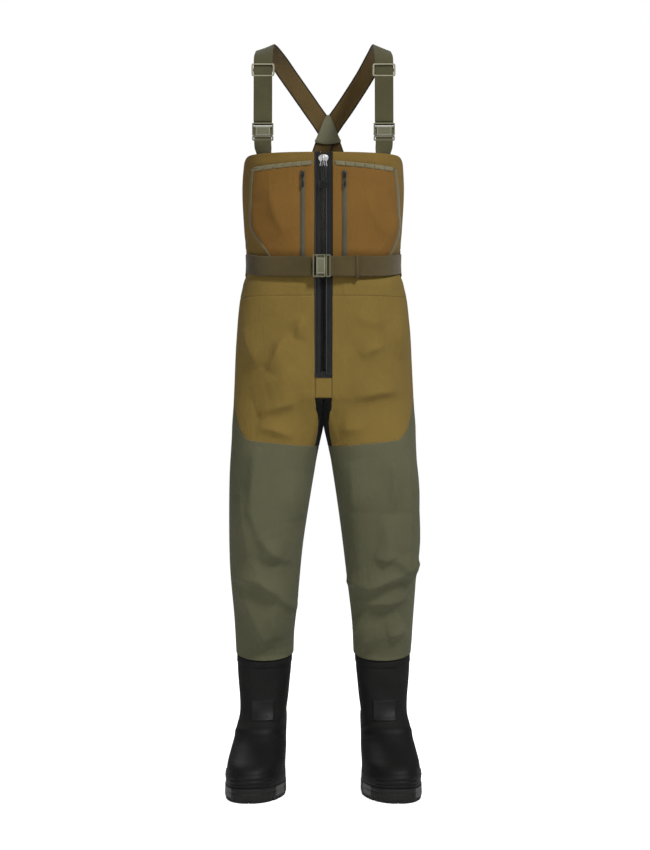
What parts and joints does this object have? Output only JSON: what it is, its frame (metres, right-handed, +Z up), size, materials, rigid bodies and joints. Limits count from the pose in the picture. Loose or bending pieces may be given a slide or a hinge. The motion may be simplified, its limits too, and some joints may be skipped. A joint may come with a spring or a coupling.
{
  "type": "chest waders",
  "caption": "Chest waders with bonded rubber boots, a full-length front zip, zipped chest pockets, a buckled belt and crossed suspenders.",
  "frame": {"origin": "on the floor, midway between the two boots, at the middle of the soles' length", "axes": "+Z up; the wearer faces -Y; the wearer's right is at -X, so -X is at the left when the front is looked at"},
  "size_m": [0.387, 0.305, 1.4956],
  "materials": {
    "bib_fabric": "matte waterproof laminate, brown",
    "hip_fabric": "matte waterproof laminate, golden tan",
    "leg_fabric": "matte waterproof laminate, olive",
    "zip_tape": "smooth coated tape with a low sheen",
    "zip_teeth": "moulded, semi-gloss",
    "zip_metal": "satin nickel",
    "pocket_zip": "coated coil zip, matte",
    "trim_tape": "woven tape and bonded patches",
    "belt_webbing": "woven webbing",
    "strap_webbing": "woven elastic webbing",
    "buckle_plastic": "moulded acetal, satin",
    "boot_neoprene": "matte rubber over neoprene",
    "boot_rubber": "moulded rubber"
  },
  "bodies": {
    "garment": {"bib_front_right": "bib_fabric", "bib_front_left": "bib_fabric", "pocket_panel_right": "bib_fabric", "pocket_panel_left": "bib_fabric", "bib_back": "hip_fabric", "hip_front_right": "hip_fabric", "hip_front_left": "hip_fabric", "seat_back": "hip_fabric", "belt_loop_right": "hip_fabric", "belt_loop_left": "hip_fabric", "belt_loop_back": "hip_fabric", "leg_right": "leg_fabric", "leg_left": "leg_fabric", "crotch_gusset": "leg_fabric", "zip_tape_right": "zip_tape", "zip_tape_left": "zip_tape", "zip_bottom_dock": "zip_tape", "zip_teeth_right": "zip_teeth", "zip_teeth_left": "zip_teeth", "pocket_zip_right": "pocket_zip", "pocket_zip_left": "pocket_zip", "chest_loop_tape_right": "trim_tape", "chest_loop_tape_left": "trim_tape", "back_anchor_patch": "trim_tape", "belt_webbing": "belt_webbing", "strap_tab_right": "strap_webbing", "strap_tab_left": "strap_webbing", "belt_buckle_female": "buckle_plastic", "strap_buckle_male_right": "buckle_plastic", "strap_buckle_male_left": "buckle_plastic", "boot_upper_right": "boot_neoprene", "boot_upper_left": "boot_neoprene", "boot_cuff_band_right": "boot_neoprene", "boot_cuff_band_left": "boot_neoprene", "boot_insole_right": "boot_neoprene", "boot_insole_left": "boot_neoprene", "boot_outsole_right": "boot_rubber", "boot_outsole_left": "boot_rubber", "boot_foxing_right": "boot_rubber", "boot_foxing_left": "boot_rubber", "boot_shin_patch_right": "boot_rubber", "boot_shin_patch_left": "boot_rubber"},
    "main_slider": {"zip_slider": "zip_metal"},
    "main_pull": {"zip_pull_strap": "zip_tape", "zip_pull_grip": "zip_tape"},
    "belt_clip": {"belt_buckle_male": "buckle_plastic", "belt_front_strap": "belt_webbing", "belt_keeper": "belt_webbing"},
    "suspenders": {"suspender_strap_right": "strap_webbing", "suspender_strap_left": "strap_webbing", "strap_buckle_female_right": "buckle_plastic", "strap_buckle_female_left": "buckle_plastic", "yoke_patch_inner": "trim_tape", "yoke_patch_outer": "trim_tape"},
    "pocket_slider_right": {"pocket_slider_right": "zip_metal"},
    "pocket_pull_right": {"pocket_pull_right": "pocket_zip"},
    "adjuster_right": {"strap_adjuster_right": "buckle_plastic"},
    "pocket_slider_left": {"pocket_slider_left": "zip_metal"},
    "pocket_pull_left": {"pocket_pull_left": "pocket_zip"},
    "adjuster_left": {"strap_adjuster_left": "buckle_plastic"}
  },
  "joints": [
    {"name": "main_zip_slide", "type": "slide", "parent": "garment", "child": "main_slider", "axis": [0, 0, 1], "range_m": [-0.4, 0]},
    {"name": "main_pull_swing", "type": "hinge", "parent": "main_slider", "child": "main_pull", "pos_m": [0, -0.09165, 1.24835], "axis": [-1, 0, 0], "range_deg": [0, 150]},
    {"name": "belt_clip_slide", "type": "slide", "parent": "garment", "child": "belt_clip", "axis": [1, 0, 0], "range_m": [0, 0.025]},
    {"name": "suspenders_flip", "type": "hinge", "parent": "garment", "child": "suspenders", "pos_m": [0, 0.1364, 1.281], "axis": [-1, 0, 0], "range_deg": [0, 150]},
    {"name": "pocket_right_zip_slide", "type": "slide", "parent": "garment", "child": "pocket_slider_right", "axis": [0, 0, 1], "range_m": [-0.13, 0]},
    {"name": "pocket_right_pull_swing", "type": "hinge", "parent": "pocket_slider_right", "child": "pocket_pull_right", "pos_m": [-0.04161, -0.09145, 1.2219], "axis": [-0.9951, 0.0991, 0], "range_deg": [0, 150]},
    {"name": "adjuster_right_slide", "type": "slide", "parent": "suspenders", "child": "adjuster_right", "axis": [0, 0.0995, 0.995], "range_m": [-0.08, 0]},
    {"name": "pocket_left_zip_slide", "type": "slide", "parent": "garment", "child": "pocket_slider_left", "axis": [0, 0, 1], "range_m": [-0.13, 0]},
    {"name": "pocket_left_pull_swing", "type": "hinge", "parent": "pocket_slider_left", "child": "pocket_pull_left", "pos_m": [0.04155, -0.09146, 1.2219], "axis": [-0.9951, -0.0991, 0], "range_deg": [0, 150]},
    {"name": "adjuster_left_slide", "type": "slide", "parent": "suspenders", "child": "adjuster_left", "axis": [0, 0.0995, 0.995], "range_m": [-0.08, 0]}
  ]
}
